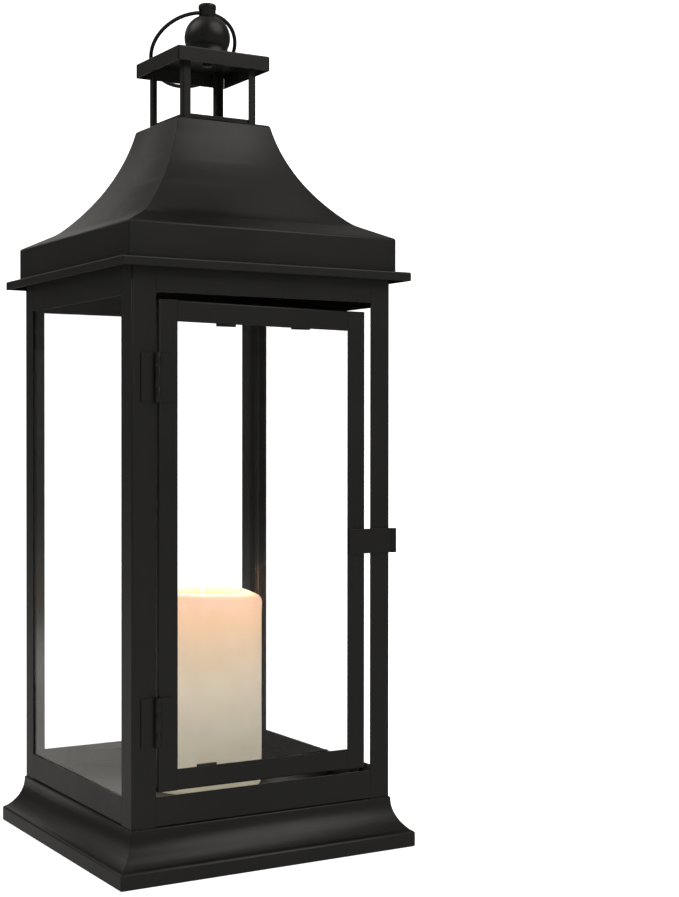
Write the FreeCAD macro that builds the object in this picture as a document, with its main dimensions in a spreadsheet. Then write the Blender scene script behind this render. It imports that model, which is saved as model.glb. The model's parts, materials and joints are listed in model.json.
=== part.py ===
import FreeCAD, Part
import math
import os
import re
import Sketcher
from FreeCAD import Placement, Rotation, Vector

# A hurricane candle lantern: a square sheet-metal body on a coved base, glazed on four sides, with a hinged
# front door, a flared roof, an open cupola, a turned finial with a hanging ring, and a pillar candle.
# Millimetres. +Z is up, the door faces -Y, and the origin is at the middle of the base's underside.

SIZES = [
    # sheet metal
    ("gauge", 1.0), ("bend", 1.3), ("mitre_gap", 0.1),
    # base: a vertical band under a hollow cove, with a hem turned in below and a ledge above
    ("base_half", 129.6), ("base_height", 40.0), ("base_neck", 115.0), ("hem_width", 12.0),
    ("band_top", 11.0), ("band_bend", 3.0), ("cove_foot", 13.2), ("cove_radius", 32.5),
    ("ledge_width", 13.0), ("floor_half", 112.6),
    # body frame: angle posts with rails between them, the post with the hinges a little wider
    ("body_half", 114.0), ("leg_width", 18.0), ("hinge_leg", 19.8), ("rail_flange", 12.0),
    ("rail_top", 61.5), ("header_bottom", 441.5), ("sill_top", 63.0), ("lintel_bottom", 443.5),
    # fixed panes
    ("glass_thick", 2.0), ("glass_gap", 0.1), ("pane_half", 110.4),
    ("pane_bottom", 47.6), ("pane_top", 458.0),
    # bent tabs that hold the glass
    ("tab_gauge", 0.8), ("tab_width", 17.0), ("tab_spacing", 66.0), ("tab_foot", 3.0), ("tab_step", 1.0),
    ("tab_hidden", 1.5), ("tab_proud", 1.4),
    # eave plate, with a rim turned down and a large vent opening
    ("eave_half", 127.1), ("eave_bottom", 461.4), ("eave_top", 468.5), ("eave_opening", 95.0),
    # roof: upright fascia, shallow apron, then a hollow curve up to a small flat crown with a vent
    ("fascia_half", 117.7), ("fascia_foot", 9.0), ("fascia_top", 494.6), ("fascia_bend", 2.2),
    ("apron_start", 116.5), ("apron_low", 496.6), ("apron_half", 96.4), ("apron_top", 506.5),
    ("apron_bend", 30.0),
    ("curve_half", 90.1), ("curve_bottom", 510.7), ("curve_radius", 156.0),
    ("crown_half", 42.4), ("crown_height", 591.3), ("crown_bend", 2.8),
    ("plateau_half", 39.6), ("plateau_height", 593.5), ("vent_half", 29.0),
    # cupola: four small angle posts round a low collar, under a cap turned down at its edges
    ("collar_height", 4.8), ("cupola_half", 33.4), ("cupola_leg", 6.8), ("post_gap", 0.1),
    ("cap_half", 42.0), ("cap_bottom", 638.6), ("cap_top", 650.6),
    ("slit_width", 0.4), ("slit_depth", 9.0), ("stud_hole", 2.7),
    # finial: a turned body a little off the cap's middle, and a knob whose stud runs down through it to a nut
    ("finial_x", 5.2), ("finial_y", 1.0),
    ("foot_radius", 22.5), ("foot_edge", 1.4), ("foot_hollow", 9.0),
    ("waist_radius", 17.2), ("waist_height", 10.8),
    ("ball_radius", 19.25), ("ball_top", 37.4), ("neck_radius", 7.1), ("neck_height", 6.2),
    ("knob_radius", 7.5), ("knob_height", 4.4), ("knob_round", 2.2),
    ("stud_radius", 2.5), ("stud_length", 3.8),
    ("washer_radius", 6.0), ("nut_radius", 4.6), ("nut_height", 2.4),
    # hanging ring through a cross hole in the neck, leaning on the back edge of the cap
    ("hole_radius", 2.7), ("hole_height", 40.5), ("ring_radius", 37.5), ("wire_radius", 1.65),
    ("ring_tilt", 43.2),
    # door: folded bars, the top one dropping a little from the hinge side to the latch side
    ("door_left", 92.4), ("door_right", 90.7), ("door_bottom", 66.2), ("door_top", 437.0),
    ("door_drop", 2.6), ("door_bar", 16.2), ("door_gauge", 1.2), ("door_bend", 1.6), ("door_flange", 6.0),
    ("door_glass_lap", 6.0),
    # butt hinges
    ("hinge_height", 36.5), ("hinge_low", 101.2), ("hinge_high", 360.8), ("knuckle_length", 10.6),
    ("knuckle_gap", 0.15), ("knuckle_radius", 2.4), ("knuckle_lift", 0.3), ("swing_clearance", 0.35),
    ("pin_radius", 1.2), ("pin_play", 0.05), ("pin_head", 0.8), ("pin_head_radius", 1.9),
    ("leaf_width", 12.9), ("pivot_across", 93.9),
    # latch plate on the door, reaching over the right-hand post to a finger lip
    ("latch_height", 20.0), ("latch_middle", 250.0), ("latch_start", 75.2), ("latch_seat", 15.0),
    ("latch_ramp", 2.0), ("latch_rise", 0.5), ("latch_reach", 43.6), ("latch_lip", 5.0),
    ("latch_lip_rise", 2.6),
    # candle
    ("candle_radius", 51.0), ("candle_height", 168.0), ("candle_foot", 1.5),
    ("shoulder_drop", 9.0), ("shoulder_width", 6.0), ("shoulder_round", 10.8),
    ("pool_radius", 37.0), ("pool_depth", 3.0), ("pool_round", 14.0),
    ("wick_radius", 1.1), ("wick_height", 7.0),
]
NAMES = {name for name, value in SIZES}
TOUCH = 0.01            # two faces nearer than this are one plane
# The long pieces of each side are drawn for the back of the lantern and turned into place.
SIDES = {"back": 0, "left": 90, "front": 180, "right": 270}
CORNERS = {"back_right": 0, "back_left": 90, "front_left": 180, "front_right": 270}
UP = Vector(0, 0, 1)
ON_END = Rotation(Vector(1, 1, 1), 120)      # sketch x runs along +Y, sketch y along +Z
FROM_ABOVE = Rotation()

doc = FreeCAD.newDocument("lantern")
sheet = doc.addObject("Spreadsheet::Sheet", "Sizes")
for row, (name, value) in enumerate(SIZES, start=1):
    sheet.set("A%d" % row, name)
    sheet.set("B%d" % row, str(value))
    sheet.setAlias("B%d" % row, name)
doc.recompute()
nodes = []


def bound(formula):
    """Turn a formula in the sheet's words into a document expression."""
    return re.sub(r"[a-z]\w*", lambda word: "Sizes." + word[0] if word[0] in NAMES else word[0], formula)


def amount(formula):
    return float(sheet.evalExpression(bound(formula)))


def bind(item, **formulas):
    for prop, formula in formulas.items():
        item.setExpression(prop.replace("__", "."), bound(formula))


def place(item, x="0", y="0", z="0"):
    bind(item, Placement__Base__x=x, Placement__Base__y=y, Placement__Base__z=z)


def make(kind, name, **formulas):
    item = doc.addObject(kind, name)
    bind(item, **formulas)
    return item


def node(item, label, turn=0):
    """Name a finished piece and turn it about the lantern's axis."""
    item.Label = label
    item.Placement = Placement(item.Placement.Base, Rotation(UP, turn))
    nodes.append(item)
    return item


# ---- sketches ----

def arc_between(start, end, radius):
    """The short arc from start to end: a positive radius turns left."""
    chord = end - start
    middle = (start + end) * 0.5
    sagitta = abs(radius) - math.sqrt(radius ** 2 - chord.Length ** 2 / 4)
    outward = Vector(chord.y, -chord.x, 0).normalize() * math.copysign(sagitta, radius)
    return Part.Arc(start, middle + outward, end)


def fix_point(sketch, edge, end, across, up):
    """Hold one end of an edge at formulas measured from the sketch's origin."""
    for kind, axis, formula in (("DistanceX", -2, across), ("DistanceY", -1, up)):
        if formula == "0":
            sketch.addConstraint(Sketcher.Constraint("PointOnObject", edge, end, axis))
            continue
        rule = sketch.addConstraint(Sketcher.Constraint(kind, -1, 1, edge, end, amount(formula)))
        sketch.setExpression("Constraints[%d]" % rule, bound(formula))


def draw(sketch, points, closed):
    """Draw lines and arcs through points. A point is (across, up), or (across, up, radius) where the edge
    that arrives there is an arc."""
    spots = [Vector(amount(point[0]), amount(point[1]), 0) for point in points]
    count = len(points) if closed else len(points) - 1
    ends = []
    for index in range(count):
        start, end = spots[index], spots[(index + 1) % len(points)]
        target = points[(index + 1) % len(points)]
        curve = Part.LineSegment(start, end)
        if len(target) == 3:
            curve = arc_between(start, end, amount(target[2]))
        edge = sketch.addGeometry(curve, False)
        if len(target) == 3:
            rule = sketch.addConstraint(Sketcher.Constraint("Radius", edge, abs(amount(target[2]))))
            sketch.setExpression("Constraints[%d]" % rule, bound(target[2].lstrip("-")))
        forward = (sketch.getPoint(edge, 1) - start).Length < 1e-6
        first, last = (1, 2) if forward else (2, 1)
        fix_point(sketch, edge, first, points[index][0], points[index][1])
        ends.append((edge, first, last))
    for before, after in zip(ends, ends[1:] + (ends[:1] if closed else [])):
        sketch.addConstraint(Sketcher.Constraint("Coincident", before[0], before[2], after[0], after[1]))
    if not closed:
        fix_point(sketch, ends[-1][0], ends[-1][2], points[-1][0], points[-1][1])


def free_sketch(name, points, rotation, closed=False):
    sketch = doc.addObject("Sketcher::SketchObject", name)
    sketch.Placement = Placement(Vector(), rotation)
    draw(sketch, points, closed)
    return sketch


def plane_of(body, role):
    return [item for item in body.Origin.OriginFeatures if item.Role == role][0]


# ---- ways of making a piece ----

def bent_section(name, points, rotation, gauge):
    """A run of sheet seen on its end: an open line given a thickness, to its right if gauge is positive."""
    line = free_sketch(name + "_line", points, rotation)
    section = make("Part::Offset2D", name + "_section", Value=gauge)
    section.Source = line
    section.Mode = "Skin"
    section.Join = "Arc"
    section.Fill = True
    return section


def drawn_out(name, section, direction, length, both_ways=True):
    strip = make("Part::Extrusion", name, LengthFwd=length)
    strip.Base = section
    strip.DirMode = "Custom"
    strip.Dir = direction
    strip.Symmetric = both_ways
    strip.Solid = True
    return strip


def mitred(name, strip, near, far):
    """Cut both ends of a strip at 45 degrees, where it meets the next sides."""
    wedge = make("Part::Wedge", name + "_wedge", Ymin=near, Ymax=far,
                 Zmin="-gauge", Z2min="-gauge", Zmax="cap_top", Z2max="cap_top",
                 Xmin="mitre_gap - (%s)" % near, Xmax=near + " - mitre_gap",
                 X2min="mitre_gap - (%s)" % far, X2max=far + " - mitre_gap")
    cut = doc.addObject("Part::Common", name)
    cut.Base = strip
    cut.Tool = wedge
    return cut


def box(name, x, y, z):
    """A block between three pairs of limits."""
    block = make("Part::Box", name, Length="(%s) - (%s)" % (x[1], x[0]), Width="(%s) - (%s)" % (y[1], y[0]),
                 Height="(%s) - (%s)" % (z[1], z[0]))
    place(block, x[0], y[0], z[0])
    return block


def cylinder(name, radius, bottom, top, x="0", y="0"):
    rod = make("Part::Cylinder", name, Radius=radius, Height="(%s) - (%s)" % (top, bottom))
    place(rod, x, y, bottom)
    return rod


def cut(name, base, tool):
    result = doc.addObject("Part::Cut", name)
    result.Base = base
    result.Tool = tool
    return result


def joined(name, pieces, kind="Part::MultiFuse"):
    result = doc.addObject(kind, name)
    if kind == "Part::Compound":
        result.Links = pieces
    else:
        result.Shapes = pieces
    return result


def square_feature(body, kind, name, half, bottom, top):
    """A square block, added or taken away, centred on the lantern's axis."""
    block = body.newObject(kind, name)
    width = "2 * (%s)" % half
    bind(block, Length=width, Width=width, Height="(%s) - (%s)" % (top, bottom))
    place(block, "-(%s)" % half, "-(%s)" % half, bottom)
    return block


def upper_outer_edges(shape, half, bottom):
    """The upright corners and the top rim of a square block."""
    names = []
    for index, edge in enumerate(shape.Edges, start=1):
        middle = edge.CenterOfMass
        on_sides = [abs(abs(across) - half) < TOUCH for across in (middle.x, middle.y)]
        if all(on_sides) or (any(on_sides) and middle.z > bottom + TOUCH):
            names.append("Edge%d" % index)
    return names


def tray(label, half, bottom, top):
    """A square plate with its edges turned down and rounded."""
    body = doc.addObject("PartDesign::Body", label)
    block = square_feature(body, "PartDesign::AdditiveBox", label + "_block", half, bottom, top)
    doc.recompute()
    rounded = body.newObject("PartDesign::Fillet", label + "_round")
    rounded.Base = (block, upper_outer_edges(block.Shape, amount(half), amount(bottom)))
    bind(rounded, Radius="bend")
    square_feature(body, "PartDesign::SubtractiveBox", label + "_inside", half + " - gauge",
                   bottom, top + " - gauge")
    return body


def turned(label, points):
    """A solid turned about the lantern's axis from its half outline."""
    body = doc.addObject("PartDesign::Body", label)
    sketch = body.newObject("Sketcher::SketchObject", label + "_outline")
    sketch.AttachmentSupport = [(plane_of(body, "XZ_Plane"), "")]
    sketch.MapMode = "FlatFace"
    draw(sketch, points, closed=True)
    lathe = body.newObject("PartDesign::Revolution", label + "_turning")
    lathe.Profile = sketch
    lathe.ReferenceAxis = (sketch, ["V_Axis"])
    lathe.Angle = 360
    return body


# ---- base ----

def base_skirts():
    foot_across = "base_neck + cove_radius - sqrt(cove_radius ^ 2 - (base_height - bend - cove_foot) ^ 2)"
    points = [
        ("base_half - hem_width", "0"),
        ("base_half - bend", "0"),
        ("base_half", "bend", "bend"),
        ("base_half", "band_top"),
        (foot_across, "cove_foot", "band_bend"),
        ("base_neck", "base_height - bend", "-cove_radius"),
        ("base_neck - bend", "base_height", "bend"),
        ("base_neck - ledge_width", "base_height"),
    ]
    for side, turn in SIDES.items():
        label = "base_skirt_" + side
        section = bent_section(label, points, ON_END, "-gauge")
        strip = drawn_out(label + "_strip", section, Vector(1, 0, 0), "2 * base_half")
        node(mitred(label + "_cut", strip, "base_neck - 2 * ledge_width", "base_half + gauge"), label, turn)


def floor_plate():
    span = ("-floor_half", "floor_half")
    node(box("floor", span, span, ("base_height + gauge", "base_height + 2 * gauge")), "floor_plate")


# ---- body frame ----

def angle_post(label, turn, half, leg, bottom, top):
    """An upright of folded sheet, with its outer corner at (half, half)."""
    points = [
        ("%s - %s" % (half, leg), half),
        (half + " - bend", half),
        (half, half + " - bend", "-bend"),
        (half, "%s - %s" % (half, leg)),
    ]
    section = bent_section(label, points, FROM_ABOVE, "gauge")
    place(section.Source, z=bottom)
    length = "(%s) - (%s)" % (top, bottom)
    node(drawn_out(label + "_strip", section, UP, length, both_ways=False), label, turn)


def folded_edge(free_edge, flange_edge, turn_in, bend, depth):
    """An angle seen on its end: an upright face on the body's surface, then a flange turned in."""
    bend_edge = "%s %s %s" % (flange_edge, "+" if turn_in == "-" else "-", bend)
    return [
        ("body_half", free_edge),
        ("body_half", bend_edge),
        ("body_half - " + bend, flange_edge, turn_in + bend),
        ("body_half - " + depth, flange_edge),
    ]


def rail(label, side, free_edge, flange_edge, turn_in):
    """An angle between two posts, its face flush with them, kept clear of the wider hinge post."""
    points = folded_edge(free_edge, flange_edge, turn_in, "bend", "rail_flange")
    section = bent_section(label, points, ON_END, "gauge" if turn_in == "-" else "-gauge")
    shorter = "hinge_leg - leg_width" if side in ("front", "left") else "0"
    length = "2 * (body_half - leg_width) - (%s)" % shorter
    strip = node(drawn_out(label + "_strip", section, Vector(1, 0, 0), length), label, SIDES[side])
    if side == "front":
        place(strip, x="(%s) / 2" % shorter)
    if side == "left":
        place(strip, y="(%s) / 2" % shorter)


def body_frame():
    for corner, turn in CORNERS.items():
        leg = "hinge_leg" if corner == "front_left" else "leg_width"
        angle_post("corner_post_" + corner, turn, "body_half", leg, "base_height", "eave_top - gauge")
    for side in SIDES:
        free_edges = ("sill_top", "lintel_bottom") if side == "front" else ("rail_top", "header_bottom")
        rail("bottom_rail_" + side, side, free_edges[0], "base_height", "-")
        rail("header_rail_" + side, side, free_edges[1], "eave_top - gauge", "")


# ---- glass ----

def tab_pair(name, seat, glass_back, glass_edge, tip, spacing, outward):
    """Two bent tabs in a row. Each has a foot on the metal beyond the glass, and steps over its edge."""
    sign = "+" if outward > 0 else "-"
    step_start = "%s %s (glass_gap + tab_gauge + tab_step)" % (glass_edge, sign)
    step_end = "%s %s (glass_gap + tab_gauge)" % (glass_edge, sign)
    points = [
        (seat, "%s %s tab_foot" % (step_start, sign)),
        (seat, step_start),
        (glass_back, step_end),
        (glass_back, tip),
    ]
    section = bent_section(name, points, ON_END, "tab_gauge" if outward > 0 else "-tab_gauge")
    row = drawn_out(name + "_row", section, Vector(1, 0, 0), spacing + " + tab_width")
    half_gap = "(%s - tab_width) / 2" % spacing
    gap = box(name + "_gap", ("-" + half_gap, half_gap), ("body_half - leg_width", "body_half"),
              ("0", "cap_top"))
    return cut(name, row, gap)


def fixed_panes():
    inner = "body_half - gauge - glass_gap - glass_thick"
    for side in ("left", "back", "right"):
        pane = make("Part::Box", "pane_" + side, Length="2 * pane_half", Width="glass_thick",
                    Height="pane_top - pane_bottom")
        turn = Rotation(UP, SIDES[side])
        corner = turn.multVec(Vector(-amount("pane_half"), amount(inner), amount("pane_bottom")))
        pane.Placement = Placement(corner, turn)
        node(pane, "glass_" + side, SIDES[side])
        upper = tab_pair("tabs_high_" + side, "body_half - gauge", inner + " - glass_gap", "pane_top",
                         "header_bottom + tab_hidden", "2 * tab_spacing", 1)
        lower = tab_pair("tabs_low_" + side, "body_half - gauge", inner + " - glass_gap", "pane_bottom",
                         "rail_top - tab_hidden", "2 * tab_spacing", -1)
        node(joined("tabs_" + side, [upper, lower], "Part::Compound"), "glass_tabs_" + side, SIDES[side])


# ---- roof ----

def eave_plate():
    body = tray("eave_plate_body", "eave_half", "eave_bottom", "eave_top")
    square_feature(body, "PartDesign::SubtractiveBox", "eave_vent", "eave_opening",
                   "eave_bottom", "eave_top + gauge")
    node(body, "eave_plate")


def roof_panels():
    points = [
        ("fascia_half - fascia_foot", "eave_top"),
        ("fascia_half - bend", "eave_top"),
        ("fascia_half", "eave_top + bend", "bend"),
        ("fascia_half", "fascia_top"),
        ("apron_start", "apron_low", "fascia_bend"),
        ("apron_half", "apron_top"),
        ("curve_half", "curve_bottom", "-apron_bend"),
        ("crown_half", "crown_height", "-curve_radius"),
        ("plateau_half", "plateau_height", "crown_bend"),
        ("vent_half", "plateau_height"),
    ]
    for side, turn in SIDES.items():
        label = "roof_panel_" + side
        section = bent_section(label, points, ON_END, "-gauge")
        strip = drawn_out(label + "_strip", section, Vector(1, 0, 0), "2 * fascia_half")
        node(mitred(label + "_cut", strip, "vent_half - gauge", "fascia_half + gauge"), label, turn)


def cupola():
    for corner, turn in CORNERS.items():
        angle_post("cupola_post_" + corner, turn, "cupola_half", "cupola_leg",
                   "plateau_height", "cap_top - gauge")
    collar = doc.addObject("PartDesign::Body", "collar_body")
    top = "plateau_height + collar_height"
    outer = "cupola_half - gauge - post_gap"
    square_feature(collar, "PartDesign::AdditiveBox", "collar_block", outer, "plateau_height", top)
    square_feature(collar, "PartDesign::SubtractiveBox", "collar_inside", outer + " - gauge",
                   "plateau_height", top)
    node(collar, "vent_collar")


def cupola_cap():
    body = tray("cap_body", "cap_half", "cap_bottom", "cap_top")
    hole = body.newObject("PartDesign::SubtractiveCylinder", "cap_hole")
    bind(hole, Radius="stud_hole", Height="cap_top - cap_bottom")
    place(hole, "finial_x", "finial_y", "cap_bottom")
    for index, slant in enumerate((45, 135)):
        slit = body.newObject("PartDesign::SubtractiveBox", "cap_slit_%d" % index)
        bind(slit, Length="4 * cap_half", Width="slit_width", Height="slit_depth")
        turn = Rotation(UP, slant)
        start = turn.multVec(Vector(-2 * amount("cap_half"), -amount("slit_width") / 2, 0))
        slit.Placement = Placement(start + UP * amount("cap_bottom"), turn)
    node(body, "cupola_cap")


# ---- finial and ring ----

def finial():
    body = turned("finial_turned", [
        ("stud_hole", "cap_top"),
        ("foot_radius", "cap_top"),
        ("foot_radius", "cap_top + foot_edge"),
        ("waist_radius", "cap_top + waist_height", "-foot_hollow"),
        ("neck_radius", "cap_top + ball_top", "ball_radius"),
        ("stud_hole", "cap_top + ball_top"),
    ])
    place(node(body, "finial_body"), "finial_x", "finial_y")
    seat = "cap_top + ball_top"
    knob = turned("knob_turned", [
        ("0", "cap_top - gauge - stud_length"),
        ("stud_radius", "cap_top - gauge - stud_length"),
        ("stud_radius", seat),
        ("neck_radius", seat),
        ("neck_radius", seat + " + neck_height"),
        ("knob_radius", seat + " + neck_height"),
        ("knob_radius", seat + " + neck_height + knob_height - knob_round"),
        ("knob_radius - knob_round", seat + " + neck_height + knob_height", "knob_round"),
        ("0", seat + " + neck_height + knob_height"),
    ])
    hole = knob.newObject("PartDesign::SubtractiveCylinder", "ring_hole")
    bind(hole, Radius="hole_radius", Height="4 * neck_radius")
    hole.Placement = Placement(Vector(-2 * amount("neck_radius"), 0, amount("cap_top + hole_height")),
                               Rotation(Vector(0, 1, 0), 90))
    place(node(knob, "finial_knob"), "finial_x", "finial_y")
    under = "cap_top - gauge"
    bore = cylinder("washer_bore", "stud_hole", "cap_bottom", "cap_top", "finial_x", "finial_y")
    washer = cylinder("washer_disc", "washer_radius", under + " - gauge", under, "finial_x", "finial_y")
    node(cut("washer", washer, bore), "finial_washer")
    hexagon = make("Part::Prism", "nut_hexagon", Circumradius="nut_radius", Height="nut_height")
    hexagon.Polygon = 6
    place(hexagon, "finial_x", "finial_y", under + " - gauge - nut_height")
    thread = cylinder("nut_bore", "stud_radius + pin_play", "cap_bottom", "cap_top", "finial_x", "finial_y")
    node(cut("nut", hexagon, thread), "finial_nut")


def hanging_ring():
    ring = make("Part::Torus", "ring", Radius1="ring_radius", Radius2="wire_radius")
    node(ring, "hanging_ring")
    lean = Rotation(Vector(1, 0, 0), -amount("ring_tilt"))
    pivot = Vector(amount("finial_x"), amount("finial_y"), amount("cap_top + hole_height"))
    ring.Placement = Placement(pivot + lean.multVec(Vector(0, amount("ring_radius"), 0)), lean)


# ---- door ----

def door_stile(label, outer, inward, top):
    """A folded upright: its face on the front of the door, and a return along its outer edge."""
    points = [
        ("%s %s door_bar" % (outer, inward), "body_half"),
        ("%s %s door_bend" % (outer, inward), "body_half"),
        (outer, "body_half - door_bend", inward.replace("+", "") + "door_bend"),
        (outer, "body_half - door_flange"),
    ]
    section = bent_section(label, points, FROM_ABOVE, "door_gauge" if inward == "-" else "-door_gauge")
    place(section.Source, z="door_bottom")
    length = "(%s) - door_bottom" % top
    node(drawn_out(label + "_strip", section, UP, length, both_ways=False), label, SIDES["front"])


def door_rail(label, free_edge, flange_edge, turn_in, drop):
    """A folded bar between the stiles, which may drop towards the latch side."""
    points = folded_edge(free_edge, flange_edge, turn_in, "door_bend", "door_flange")
    section = bent_section(label, points, ON_END, "door_gauge" if turn_in == "-" else "-door_gauge")
    along = Vector(1, 0, amount("(%s) / (door_left + door_right)" % drop))
    strip = drawn_out(label + "_strip", section, along, "door_left + door_right - 2 * door_bar")
    node(strip, label, SIDES["front"])
    place(strip, "(door_right - door_left) / 2")


def door():
    door_stile("door_stile_left", "door_left", "-", "door_top + door_drop / 2")
    door_stile("door_stile_right", "-door_right", "+", "door_top - door_drop / 2")
    door_rail("door_rail_bottom", "door_bottom + door_bar", "door_bottom", "-", "0")
    door_rail("door_rail_top", "door_top - door_bar", "door_top", "", "door_drop")
    back = "body_half - door_gauge - glass_gap"
    node(box("door_pane", ("-door_left + door_glass_lap", "door_right - door_glass_lap"),
             ("-(%s)" % back, "-(%s) + glass_thick" % back),
             ("door_bottom + door_glass_lap + 2 * tab_gauge", "door_top - door_glass_lap - 2 * tab_gauge")),
         "door_glass")
    seat = "body_half - door_gauge"
    glass_back = back + " - glass_thick - glass_gap"
    upper = tab_pair("door_tabs_high", seat, glass_back, "door_top - door_glass_lap - 2 * tab_gauge",
                     "door_top - door_bar - tab_proud", "tab_spacing", 1)
    lower = tab_pair("door_tabs_low", seat, glass_back, "door_bottom + door_glass_lap + 2 * tab_gauge",
                     "door_bottom + door_bar + tab_proud", "1.5 * tab_spacing", -1)
    tabs = joined("door_tabs", [upper, lower], "Part::Compound")
    node(tabs, "door_glass_tabs", SIDES["front"])
    place(tabs, "(door_right - door_left) / 2")


def latch():
    """A plate on the door, set forward to clear the post and ending in a lip for the finger."""
    points = [
        ("0", "0"),
        ("latch_seat", "0"),
        ("latch_seat + latch_ramp", "latch_rise"),
        ("latch_reach - latch_lip", "latch_rise"),
        ("latch_reach", "latch_rise + latch_lip_rise"),
    ]
    section = bent_section("latch", points, FROM_ABOVE, "-door_gauge")
    plate = drawn_out("latch_strip", section, UP, "latch_height")
    node(plate, "latch_plate")
    start = Vector(amount("latch_start"), -amount("body_half"), amount("latch_middle"))
    plate.Placement = Placement(start, Rotation(Vector(1, 0, 0), 180))


def hinge(level, low):
    """A butt hinge: two outer knuckles on the frame leaf, and the middle one on the door leaf."""
    x, y = "-pivot_across", "-(body_half + knuckle_lift + knuckle_radius)"
    front = ("-(body_half + gauge)", "-body_half")
    high = low + " + hinge_height"
    middle = (low + " + knuckle_length", high + " - knuckle_length")
    inner = (middle[0] + " + knuckle_gap", middle[1] + " - knuckle_gap")

    def knuckle(name, ends, radius="knuckle_radius"):
        return cylinder("%s_%s" % (level, name), radius, ends[0], ends[1], x, y)

    def bored(label, plate, relief, barrels):
        trimmed = cut("%s_%s_trimmed" % (level, label), plate, relief)
        leaf = joined("%s_%s_leaf" % (level, label), [trimmed] + barrels)
        bore = knuckle(label + "_bore", (low + " - gauge", high + " + gauge"), "pin_radius + pin_play")
        node(cut("%s_%s_bored" % (level, label), leaf, bore), "%s_hinge_%s_leaf" % (level, label))

    clear = "knuckle_radius + swing_clearance"
    frame_plate = box(level + "_frame_plate", (x + " - leaf_width", x), front, (low, high))
    bored("frame", frame_plate, knuckle("frame_relief", middle, clear),
          [knuckle("knuckle_low", (low, middle[0])), knuckle("knuckle_high", (middle[1], high))])
    door_plate = box(level + "_door_plate", (x, x + " + leaf_width"), front, (low, high))
    reliefs = joined(level + "_door_reliefs", [knuckle("relief_low", (low, inner[0]), clear),
                                               knuckle("relief_high", (inner[1], high), clear)])
    bored("door", door_plate, reliefs, [knuckle("knuckle_middle", inner)])
    pin = [knuckle("pin_shaft", (low, high), "pin_radius"),
           knuckle("pin_foot", (low + " - pin_head", low), "pin_head_radius"),
           knuckle("pin_head", (high, high + " + pin_head"), "pin_head_radius")]
    node(joined(level + "_pin", pin), level + "_hinge_pin")


# ---- candle ----

def candle():
    bottom = "base_height + 2 * gauge"
    top = bottom + " + candle_height"
    node(turned("candle_turned", [
        ("0", bottom),
        ("candle_radius - candle_foot", bottom),
        ("candle_radius", bottom + " + candle_foot", "candle_foot"),
        ("candle_radius", top + " - shoulder_drop"),
        ("candle_radius - shoulder_width", top, "shoulder_round"),
        ("pool_radius", top + " - pool_depth", "pool_round"),
        ("0", top + " - pool_depth"),
    ]), "candle")
    pool = top + " - pool_depth"
    node(cylinder("wick", "wick_radius", pool, pool + " + wick_height"), "candle_wick")


base_skirts()
floor_plate()
body_frame()
fixed_panes()
eave_plate()
roof_panels()
cupola()
cupola_cap()
finial()
hanging_ring()
door()
latch()
hinge("upper", "hinge_high")
hinge("lower", "hinge_low")
candle()
doc.recompute()

failed = [item.Name for item in doc.Objects if {"Invalid", "Error"} & set(item.State)]
for item in nodes:
    if item.Shape.isNull() or not item.Shape.isValid() or not item.Shape.Solids:
        failed.append(item.Label)
if failed:
    raise RuntimeError("not built: " + ", ".join(failed))
os.makedirs("parts", exist_ok=True)
for item in nodes:
    item.Shape.exportStep("parts/%s.step" % item.Label)
print(len(nodes), "pieces")
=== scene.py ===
import json
import math

import bmesh
import bpy
from mathutils import Matrix, Vector, noise


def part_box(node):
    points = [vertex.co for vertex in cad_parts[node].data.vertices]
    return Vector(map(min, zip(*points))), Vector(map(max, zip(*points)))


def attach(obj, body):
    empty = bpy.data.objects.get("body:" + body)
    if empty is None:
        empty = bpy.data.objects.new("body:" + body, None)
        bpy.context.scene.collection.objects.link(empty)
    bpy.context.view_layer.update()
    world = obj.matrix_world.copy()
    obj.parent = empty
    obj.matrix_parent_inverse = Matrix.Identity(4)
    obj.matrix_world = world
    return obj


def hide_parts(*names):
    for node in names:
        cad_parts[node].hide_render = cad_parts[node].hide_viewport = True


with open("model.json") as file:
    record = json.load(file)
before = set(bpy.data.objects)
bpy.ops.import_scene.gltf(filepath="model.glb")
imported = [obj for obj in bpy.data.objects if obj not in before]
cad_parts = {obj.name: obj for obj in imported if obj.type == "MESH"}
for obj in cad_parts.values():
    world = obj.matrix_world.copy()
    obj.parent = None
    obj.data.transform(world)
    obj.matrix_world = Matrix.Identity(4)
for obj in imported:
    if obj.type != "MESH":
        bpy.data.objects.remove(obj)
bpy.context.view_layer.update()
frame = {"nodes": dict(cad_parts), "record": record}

# The looks of a black sheet-metal candle lantern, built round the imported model.
# Metres, +Z up, the door faces -Y.

RECORD = frame["record"]
NODES = frame["nodes"]
MM = 0.001

# The camera stands low in front of the lantern's left-hand corner, and looks level.
CAMERA_AT = (-0.5976, -1.2228, 0.3373)
CAMERA_YAW = math.radians(-30.92)
CAMERA_PITCH = math.radians(-0.54)
CAMERA_ROLL = math.radians(0.05)
CAMERA_LENS = 64.60
CAMERA_SENSOR = 36.0

# The paint rounds the sheet's edges by this much.
PAINT_EDGE = 0.25 * MM

# The candle's shape. SKIN keeps its side inside the CAD solid, and TOP_GAP its top and the wick's tip. INSET
# leaves room for swells and the drip.
SKIN = 0.2 * MM
TOP_GAP = 0.4 * MM
INSET = 1.1 * MM
SWELL = 0.5 * MM
# Its top: the rim's width, the height that it is rounded over, and the wall and depth of the pool inside it.
RIM_WIDTH = 6 * MM
RIM_ROUND = 10 * MM
POOL_WALL = 12 * MM
POOL_DEPTH = 11.5 * MM
# Its melted stretch has sunk all round, a little unevenly, and further on the side where it slumps.
MELTED = 30 * MM
SINK = 4.7 * MM
UNEVEN = 1.2 * MM
BULGE = 1.6 * MM
SLUMP = 4.3 * MM
SLUMP_WAY = math.radians(-30)
SLUMP_NARROWNESS = 3.5
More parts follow.
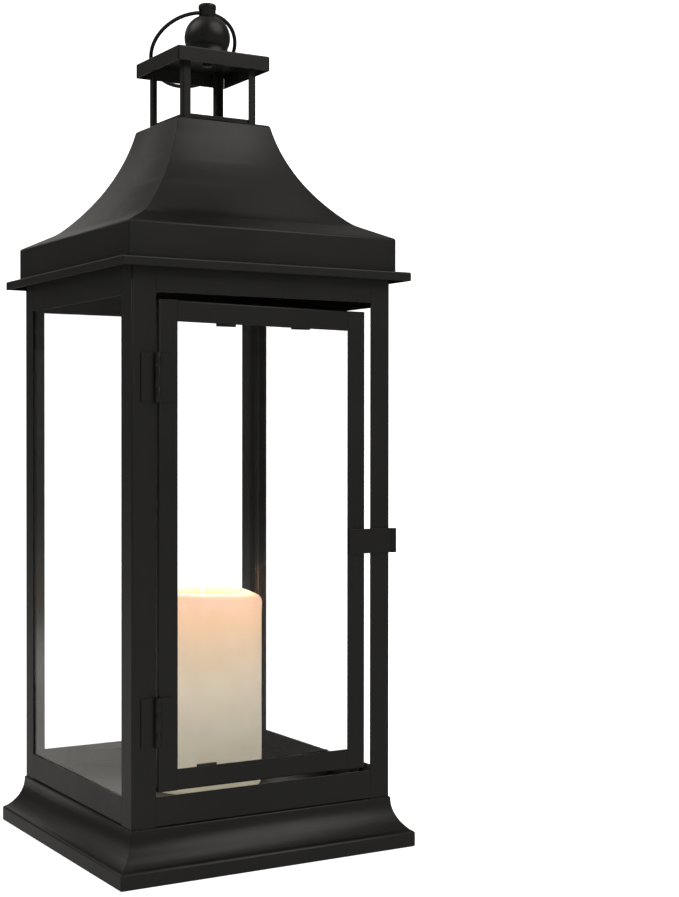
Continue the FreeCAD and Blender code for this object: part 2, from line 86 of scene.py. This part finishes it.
# One small drip has set on its side.
DRIP_WAY = math.radians(-118)
DRIP_HEIGHT = 53 * MM
DRIP_WIDTH = 3.2 * MM
DRIP_LENGTH = 6 * MM
DRIP_PROUD = 0.9 * MM
# The wick's strands. STRAND_PLACE and STRAND_RADIUS are shares of the wick's radius, and STRAND_TAPER is how
# much of its radius a strand loses by the tip. TWISTS is in whole turns.
STRANDS = 3
STRAND_PLACE = 0.42
STRAND_RADIUS = 0.55
STRAND_TAPER = 0.35
TWISTS = 2.2
WICK_LEAN = 1.1 * MM

# Brightness of the studio's parts, where 1 is white. Each _WAY is the direction that its part lies in.
SEEN_WHITE = 1.6
SOFT_LIGHT = 1.0
ROOM = 0.05
BACKDROP = 0.54
BACKDROP_WAY = (0.40, 0.91, 0.15)
HAZE = 0.29
OVERHEAD = 0.22
TABLE_FRONT = 0.2
TABLE_BEHIND = 0.07
TABLE_EDGE = 0.33
FRONT_ROOM = 0.04
SOFT_BOX = 1.5
SOFT_BOX_WAY = (0.38, -0.62, 0.68)
SIDE_BOX = 1.5
SIDE_BOX_WAY = (-0.64, 0.27, 0.72)


# ---- camera, light and floor ----

def camera():
    data = bpy.data.cameras.new("camera")
    data.sensor_width = CAMERA_SENSOR
    data.lens = CAMERA_LENS
    data.clip_start = 0.05
    data.clip_end = 50.0
    eye = bpy.data.objects.new("camera", data)
    eye.matrix_world = (Matrix.Translation(CAMERA_AT) @ Matrix.Rotation(CAMERA_YAW, 4, "Z")
                        @ Matrix.Rotation(math.radians(90) + CAMERA_PITCH, 4, "X")
                        @ Matrix.Rotation(CAMERA_ROLL, 4, "Z"))
    bpy.context.scene.collection.objects.link(eye)
    bpy.context.scene.camera = eye


class Tree:
    """A node tree being filled, with short calls for adding and joining nodes."""

    def __init__(self, owner):
        owner.use_nodes = True
        self.tree = owner.node_tree
        self.tree.nodes.clear()

    def add(self, kind, inputs=None, **settings):
        item = self.tree.nodes.new("ShaderNode" + kind)
        for name, value in settings.items():
            setattr(item, name, value)
        for name, value in (inputs or {}).items():
            self.feed(item, name, value)
        return item

    def feed(self, item, name, value):
        socket = item.inputs[name]
        if isinstance(value, bpy.types.NodeSocket):
            self.tree.links.new(value, socket)
        else:
            socket.default_value = value

    def maths(self, operation, a, b=0.0, c=0.0, clamp=False):
        return self.add("Math", {0: a, 1: b, 2: c}, operation=operation, use_clamp=clamp).outputs[0]

    def ramp(self, value, stops):
        item = self.add("ValToRGB", {"Fac": value})
        ramp = item.color_ramp
        while len(ramp.elements) < len(stops):
            ramp.elements.new(1.0)
        for element, (place, colour) in zip(ramp.elements, stops):
            element.position = place
            element.color = colour if isinstance(colour, tuple) else (colour, colour, colour, 1.0)
        return item.outputs["Color"]

    def noise(self, scale, detail=2.0, roughness=0.5, vector=None):
        inputs = {"Scale": scale, "Detail": detail, "Roughness": roughness}
        if vector is not None:
            inputs["Vector"] = vector
        return self.add("TexNoise", inputs).outputs["Fac"]

    def rise(self, value, start, end, high=1.0):
        """A smooth step from 0 at start to high at end."""
        item = self.add("MapRange", {"Value": value, "From Min": start, "From Max": end, "To Max": high},
                        interpolation_type="SMOOTHSTEP")
        return item.outputs["Result"]

    def total(self, *values):
        result = values[0]
        for value in values[1:]:
            result = self.maths("ADD", result, value)
        return result

    def product(self, *values):
        result = values[0]
        for value in values[1:]:
            result = self.maths("MULTIPLY", result, value)
        return result

    def surface(self, shader):
        out = self.tree.nodes.new("ShaderNodeOutputMaterial")
        self.tree.links.new(shader, out.inputs["Surface"])


def reflected_room(t):
    """How bright the room is in each direction that the paint and the glass can reflect. Each rise() fades
    one edge of a part of the room: by height or depth (the sine of the angle to the horizon), by how far
    forward it lies, or by the cosine of the angle to a lamp."""
    way = t.add("TexCoord").outputs["Generated"]
    split = t.add("SeparateXYZ", {"Vector": way})
    forward, height = split.outputs["Y"], split.outputs["Z"]

    def towards(direction):
        return t.add("VectorMath", {0: way, 1: Vector(direction).normalized()},
                     operation="DOT_PRODUCT").outputs["Value"]

    depth = t.maths("MULTIPLY", height, -1.0)
    behind = t.rise(towards(BACKDROP_WAY), 0.89, 0.97)
    backdrop = t.product(behind, t.rise(height, 0.35, 0.26, BACKDROP), t.rise(depth, 0.12, 0.02))
    overhead = t.product(t.rise(height, 0.55, 0.72, OVERHEAD), t.rise(forward, -0.5, -0.1))
    above_backdrop = t.product(t.rise(forward, 0.2, 0.7), t.rise(height, 0.62, 0.45, HAZE),
                               t.rise(height, 0.2, 0.36))
    table = t.product(t.rise(depth, 0.03, 0.14), t.rise(depth, 0.85, 0.55),
                      t.total(TABLE_FRONT, t.rise(forward, -0.3, 0.3, TABLE_BEHIND - TABLE_FRONT)))
    table_edge = t.product(t.rise(forward, 0.3, 0.7, TABLE_EDGE), t.rise(depth, 0.10, 0.145),
                           t.rise(depth, 0.30, 0.225))
    front = t.product(t.rise(forward, 0.1, -0.5, FRONT_ROOM), t.rise(depth, 0.5, 0.1))
    soft_box = t.rise(towards(SOFT_BOX_WAY), 0.84, 0.96, SOFT_BOX)
    side_box = t.rise(towards(SIDE_BOX_WAY), 0.88, 0.98, SIDE_BOX)
    return t.total(ROOM, backdrop, above_backdrop, overhead, table, table_edge, front, soft_box, side_box)


def studio():
    """White all round for the camera and for soft light. What the paint and glass reflect is a studio with a
    pale backdrop low behind the lantern, a soft box high in front, a pale table, and a dim room elsewhere."""
    world = bpy.data.worlds.new("studio")
    bpy.context.scene.world = world
    world.cycles.sampling_method = "NONE"
    t = Tree(world)
    path = t.add("LightPath")
    diffused = t.maths("GREATER_THAN", path.outputs["Diffuse Depth"], 0.5)
    bounces = t.maths("ADD", path.outputs["Diffuse Depth"], path.outputs["Glossy Depth"])
    bounced = t.maths("GREATER_THAN", bounces, 0.5)
    seen = t.add("Background", {"Color": (1.0, 1.0, 1.0, 1.0), "Strength": SEEN_WHITE})
    soft = t.add("Background", {"Color": (1.0, 0.99, 0.97, 1.0), "Strength": SOFT_LIGHT})
    reflected = t.add("Background", {"Color": (1.0, 0.97, 0.92, 1.0), "Strength": reflected_room(t)})
    bounce = t.add("MixShader", {0: diffused, 1: reflected.outputs[0], 2: soft.outputs[0]})
    mix = t.add("MixShader", {0: bounced, 1: seen.outputs[0], 2: bounce.outputs[0]})
    out = t.tree.nodes.new("ShaderNodeOutputWorld")
    t.tree.links.new(mix.outputs[0], out.inputs["Surface"])


def floor():
    """A pale floor for the camera and for soft light. The paint and glass see the studio's table instead."""
    data = bpy.data.meshes.new("floor")
    far = 12.0
    data.from_pydata([(-far, -far, 0), (far, -far, 0), (far, far, 0), (-far, far, 0)], [], [(0, 1, 2, 3)])
    slab = bpy.data.objects.new("floor", data)
    bpy.context.scene.collection.objects.link(slab)
    material = bpy.data.materials.new("floor_white")
    t = Tree(material)
    grain = t.noise(3.0, detail=3.0)
    colour = t.ramp(grain, [(0.3, 0.86), (0.7, 0.9)])
    shader = t.add("BsdfPrincipled", {"Base Color": colour, "Roughness": 0.9, "Specular IOR Level": 0.0,
                                      "Emission Color": (1.0, 1.0, 1.0, 1.0), "Emission Strength": 0.75})
    path = t.add("LightPath")
    mirrored = t.maths("GREATER_THAN", path.outputs["Glossy Depth"], 0.5)
    soft = t.maths("GREATER_THAN", path.outputs["Diffuse Depth"], 0.5)
    let_through = t.maths("SUBTRACT", mirrored, soft, clamp=True)
    mix = t.add("MixShader", {0: let_through, 1: shader.outputs[0], 2: t.add("BsdfTransparent").outputs[0]})
    t.surface(mix.outputs[0])
    data.materials.append(material)


# ---- materials ----

def black_paint():
    """Satin powder coat: near-black, with an orange-peel surface, faint cloudiness and sparse pale specks."""
    material = bpy.data.materials.new("black_paint")
    t = Tree(material)
    place = t.add("TexCoord").outputs["Object"]
    cloud = t.noise(14.0, detail=4.0, vector=place)
    peel = t.noise(1100.0, detail=2.0, vector=place)
    ripple = t.noise(260.0, detail=2.0, vector=place)
    specks = t.add("TexVoronoi", {"Vector": place, "Scale": 95.0}, feature="F1").outputs["Distance"]
    speck = t.maths("LESS_THAN", specks, 0.035)
    dark = t.ramp(cloud, [(0.3, (0.0038, 0.0038, 0.0034, 1.0)), (0.7, (0.0055, 0.0055, 0.0049, 1.0))])
    colour = t.add("Mix", {0: t.maths("MULTIPLY", speck, 0.06), 6: dark, 7: (0.35, 0.34, 0.31, 1.0)},
                   data_type="RGBA").outputs[2]
    rough = t.maths("MULTIPLY_ADD", t.noise(40.0, detail=4.0, vector=place), 0.10, 0.31)
    coat = t.maths("ADD", t.maths("MULTIPLY", peel, 0.6), ripple)
    bump = t.add("Bump", {"Height": coat, "Strength": 0.25, "Distance": 0.00012})
    shader = t.add("BsdfPrincipled", {"Base Color": colour, "Roughness": rough, "IOR": 1.5,
                                      "Normal": bump.outputs["Normal"]})
    t.surface(shader.outputs[0])
    return material


def clear_glass():
    """Clear sheet glass with a faint waviness."""
    material = bpy.data.materials.new("clear_glass")
    t = Tree(material)
    place = t.add("TexCoord").outputs["Object"]
    wave = t.noise(9.0, detail=1.0, vector=place)
    tint = t.ramp(wave, [(0.3, (0.988, 0.994, 0.991, 1.0)), (0.7, (0.994, 0.998, 0.996, 1.0))])
    bump = t.add("Bump", {"Height": wave, "Strength": 0.06, "Distance": 0.001})
    shader = t.add("BsdfPrincipled", {"Base Color": tint, "Roughness": 0.0, "IOR": 1.5,
                                      "Transmission Weight": 1.0, "Normal": bump.outputs["Normal"]})
    t.surface(shader.outputs[0])
    return material


def candle_wax(foot, top, rim):
    """Ivory wax with painted light: the melted hollow is painted glowing yellow-white as if lit by a flame,
    and the side is painted glowing orange near the rim and a faint ivory lower down, though nothing in the
    scene gives that light."""
    material = bpy.data.materials.new("candle_wax")
    t = Tree(material)
    place = t.add("TexCoord").outputs["Object"]
    split = t.add("SeparateXYZ", {"Vector": place})
    height = split.outputs["Z"]
    level = t.add("CombineXYZ", {"X": split.outputs["X"], "Y": split.outputs["Y"]}).outputs["Vector"]
    off_axis = t.add("VectorMath", {0: level}, operation="LENGTH").outputs["Value"]
    mottle = t.noise(45.0, detail=4.0, vector=place)
    colour = t.ramp(mottle, [(0.3, (0.74, 0.68, 0.56, 1.0)), (0.7, (0.82, 0.76, 0.64, 1.0))])
    share = t.maths("DIVIDE", t.maths("SUBTRACT", height, foot), top - foot)
    # Painted light: emission brightens the side, orange near the rim and a faint ivory lower down, in place
    # of the flame's light.
    painted_glow = t.ramp(share, [(0.30, (0.25, 0.22, 0.16, 1.0)), (0.51, (0.30, 0.23, 0.16, 1.0)),
                          (0.71, (0.39, 0.22, 0.10, 1.0)), (0.85, (0.57, 0.25, 0.085, 1.0)),
                          (0.93, (0.65, 0.285, 0.15, 1.0))])
    # Painted light: a painted pool of flame light in the hollow, yellow-white near its top and orange deeper
    # down.
    hollow = t.product(t.rise(off_axis, rim + 5 * MM, rim - 3 * MM),
                       t.rise(height, top - 16 * MM, top - 13 * MM))
    painted_pool_light = t.ramp(t.maths("DIVIDE", t.maths("SUBTRACT", top, height), 12 * MM),
                 [(0.35, (1.25, 1.10, 0.80, 1.0)), (0.85, (1.10, 0.66, 0.28, 1.0))])
    painted_glow = t.add("Mix", {0: hollow, 6: painted_glow, 7: painted_pool_light}, data_type="RGBA").outputs[2]
    rough = t.maths("MULTIPLY_ADD", mottle, 0.15, 0.38)
    dimples = t.noise(160.0, detail=3.0, vector=place)
    bump = t.add("Bump", {"Height": dimples, "Strength": 0.12, "Distance": 0.0004})
    shader = t.add("BsdfPrincipled", {"Base Color": colour, "Roughness": rough, "IOR": 1.44,
                                      "Subsurface Weight": 0.35, "Subsurface Radius": (1.0, 0.6, 0.35),
                                      "Subsurface Scale": 0.008, "Emission Color": painted_glow,
                                      "Emission Strength": 1.0, "Normal": bump.outputs["Normal"]})
    t.surface(shader.outputs[0])
    return material


def painted_glow_wick(top):
    """Braided cotton, white-hot at the tip, with a painted glow carried on down the wick where it would be in
    shade.
    """
    material = bpy.data.materials.new("painted_glow_wick")
    t = Tree(material)
    place = t.add("TexCoord").outputs["Object"]
    height = t.add("SeparateXYZ", {"Vector": place}).outputs["Z"]
    # Painted light: emission that is white-hot at the tip and painted on down the wick, where it would be in
    # shade.
    painted_wick_glow = t.rise(height, top - 18 * MM, top - 13 * MM)
    braid = t.add("TexWave", {"Vector": place, "Scale": 260.0, "Distortion": 1.5}).outputs["Fac"]
    cotton = t.ramp(braid, [(0.0, (0.30, 0.25, 0.18, 1.0)), (1.0, (0.62, 0.55, 0.42, 1.0))])
    bump = t.add("Bump", {"Height": braid, "Strength": 0.6, "Distance": 0.0002})
    shader = t.add("BsdfPrincipled", {"Base Color": cotton, "Roughness": 0.85,
                                      "Normal": bump.outputs["Normal"],
                                      "Emission Color": (1.0, 0.92, 0.75, 1.0),
                                      "Emission Strength": t.maths("MULTIPLY", painted_wick_glow, 2.0)})
    t.surface(shader.outputs[0])
    return material


# ---- CAD nodes ----

def ease_edges(item, width):
    """Round a sheet's edges by the thickness of its paint."""
    weld = item.modifiers.new("weld", "WELD")
    weld.merge_threshold = 0.01 * MM
    bevel = item.modifiers.new("bevel", "BEVEL")
    bevel.width = width
    bevel.segments = 2
    bevel.limit_method = "ANGLE"
    bevel.angle_limit = math.radians(40)
    bevel.harden_normals = True


def dress_nodes(materials):
    for row in RECORD["subparts"]:
        item = NODES[row["node"]]
        item.data.materials.clear()
        item.data.materials.append(materials[row["material_slot"]])
        if row["material_slot"] == "black_paint":
            ease_edges(item, PAINT_EDGE)


# ---- candle ----

def mesh_object(name, mesh, material, body):
    item = bpy.data.objects.new(name, mesh)
    bpy.context.scene.collection.objects.link(item)
    item.data.materials.append(material)
    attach(item, body)
    return item


def finished(name, shape):
    """Turn a bmesh into a smooth-shaded mesh, and free it."""
    for face in shape.faces:
        face.smooth = True
    mesh = bpy.data.meshes.new(name)
    shape.to_mesh(mesh)
    shape.free()
    return mesh


def lathe(name, outline, turns, shift):
    """A closed solid turned from (radius, height) points, each moved by shift(angle, radius, height)."""
    shape = bmesh.new()
    rings = []
    for radius, height in outline:
        if radius == 0:
            rings.append([shape.verts.new(shift(0, 0, height))])
            continue
        angles = [2 * math.pi * step / turns for step in range(turns)]
        rings.append([shape.verts.new(shift(angle, radius, height)) for angle in angles])
    for below, above in zip(rings, rings[1:]):
        for step in range(turns):
            after = (step + 1) % turns
            if len(below) == 1:
                shape.faces.new((below[0], above[after], above[step]))
            elif len(above) == 1:
                shape.faces.new((below[step], below[after], above[0]))
            else:
                shape.faces.new((below[step], below[after], above[after], above[step]))
    bmesh.ops.recalc_face_normals(shape, faces=shape.faces)
    return finished(name, shape)


def candle_outline(radius, foot, top):
    """The candle's half section: foot, side, rounded rim, the pool's wall, and the pool."""
    rim = radius - RIM_WIDTH
    side = radius - SKIN
    pool = top - POOL_DEPTH
    shoulder = top - RIM_ROUND
    side_foot = foot + 4 * MM
    outline = [(0, foot), (radius * 0.5, foot), (radius - 3.5 * MM, foot),
               (radius - 1.2 * MM, foot + 0.8 * MM), (radius - 0.3 * MM, foot + 2.5 * MM)]
    side_steps, rim_steps, wall_steps = 64, 10, 8
    for step in range(side_steps + 1):
        outline.append((side, side_foot + (shoulder - side_foot) * step / side_steps))
    for step in range(1, rim_steps + 1):
        angle = math.pi / 2 * step / rim_steps
        outline.append((rim + (side - rim) * math.cos(angle),
                        shoulder + RIM_ROUND * math.sin(angle) - TOP_GAP))
    for step in range(1, wall_steps + 1):
        angle = math.pi / 2 * step / wall_steps
        fall = (POOL_DEPTH - MM) * (1 - math.cos(angle))
        outline.append((rim - POOL_WALL * math.sin(angle), top - TOP_GAP - fall))
    return outline + [(radius * 0.5, pool), (radius * 0.2, pool + 0.2 * MM), (2.4 * MM, pool + 0.2 * MM),
                      (1.2 * MM, pool + 1.0 * MM), (0, pool + 1.2 * MM)]


def candle(materials):
    low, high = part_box("candle")
    radius, foot, top = high.x, low.z, high.z
    wall_foot = radius - RIM_WIDTH - POOL_WALL

    def shift(angle, r, z):
        """Where a point of the plain turned candle has moved to as the wax melted."""
        way = Vector((math.cos(angle), math.sin(angle), 0))
        high_up = max(0.0, (z - (top - MELTED)) / MELTED)
        from_pool = min(1.0, max(0.0, (r - wall_foot) / POOL_WALL))
        swell = SWELL * noise.noise(Vector((way.x * 1.6, way.y * 1.6, z * 18)))
        melt = high_up ** 2 * BULGE * noise.noise(Vector((way.x * 1.4, way.y * 1.4, 7.3)))
        slump = SLUMP * max(0.0, math.cos(angle - SLUMP_WAY)) ** SLUMP_NARROWNESS
        uneven = UNEVEN * noise.noise(Vector((way.x * 1.1 + 3, way.y * 1.1, 1.7)))
        drop = -high_up * from_pool * (SINK + slump + uneven)
        turn = math.atan2(math.sin(angle - DRIP_WAY), math.cos(angle - DRIP_WAY)) * radius / DRIP_WIDTH
        rise = (z - foot - DRIP_HEIGHT) / DRIP_LENGTH
        bead = DRIP_PROUD * math.exp(-turn ** 2 - (rise if rise < 0 else rise * 0.7) ** 2)
        out = max(0.0, r + (swell + melt + bead - INSET if r > radius * 0.7 else 0.0))
        return way * out + Vector((0, 0, z + drop))

    mesh = lathe("candle_wax_body", candle_outline(radius, foot, top), 160, shift)
    wax = mesh_object("candle_wax_body", mesh, materials["candle_wax"], "candle")
    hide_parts("candle")


def wick(materials):
    """Strands twisted together, standing in the pool and leaning a little at the top."""
    low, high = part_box("candle_wick")
    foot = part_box("candle")[1].z - POOL_DEPTH - MM
    radius = (high.x - low.x) / 2
    rows, around = 18, 10
    shape = bmesh.new()
    for strand in range(STRANDS):
        rings = []
        for row in range(rows + 1):
            share = row / rows
            twist = 2 * math.pi * (strand / STRANDS + TWISTS * share)
            middle = Vector((STRAND_PLACE * radius * math.cos(twist) + WICK_LEAN * share ** 2,
                             STRAND_PLACE * radius * math.sin(twist),
                             foot + (high.z - foot - TOP_GAP) * share))
            thin = STRAND_RADIUS * radius * (1 - STRAND_TAPER * share ** 3)
            rings.append([shape.verts.new(middle + Vector((math.cos(a), math.sin(a), 0)) * thin)
                          for a in (2 * math.pi * k / around for k in range(around))])
        for below, above in zip(rings, rings[1:]):
            for k in range(around):
                shape.faces.new((below[k], below[(k + 1) % around], above[(k + 1) % around], above[k]))
        shape.faces.new(list(reversed(rings[0])))
        shape.faces.new(rings[-1])
    mesh = finished("candle_wick_braid", shape)
    braid = mesh_object("candle_wick_braid", mesh, materials["wick_cotton"], "candle")
    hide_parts("candle_wick")


camera()
studio()
floor()
candle_low, candle_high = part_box("candle")
materials = {
    "black_paint": black_paint(),
    "clear_glass": clear_glass(),
    "candle_wax": candle_wax(candle_low.z, candle_high.z, candle_high.x - RIM_WIDTH),
    "wick_cotton": painted_glow_wick(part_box("candle_wick")[1].z),
}
dress_nodes(materials)
candle(materials)
wick(materials)
bpy.context.scene.view_settings.view_transform = "Standard"
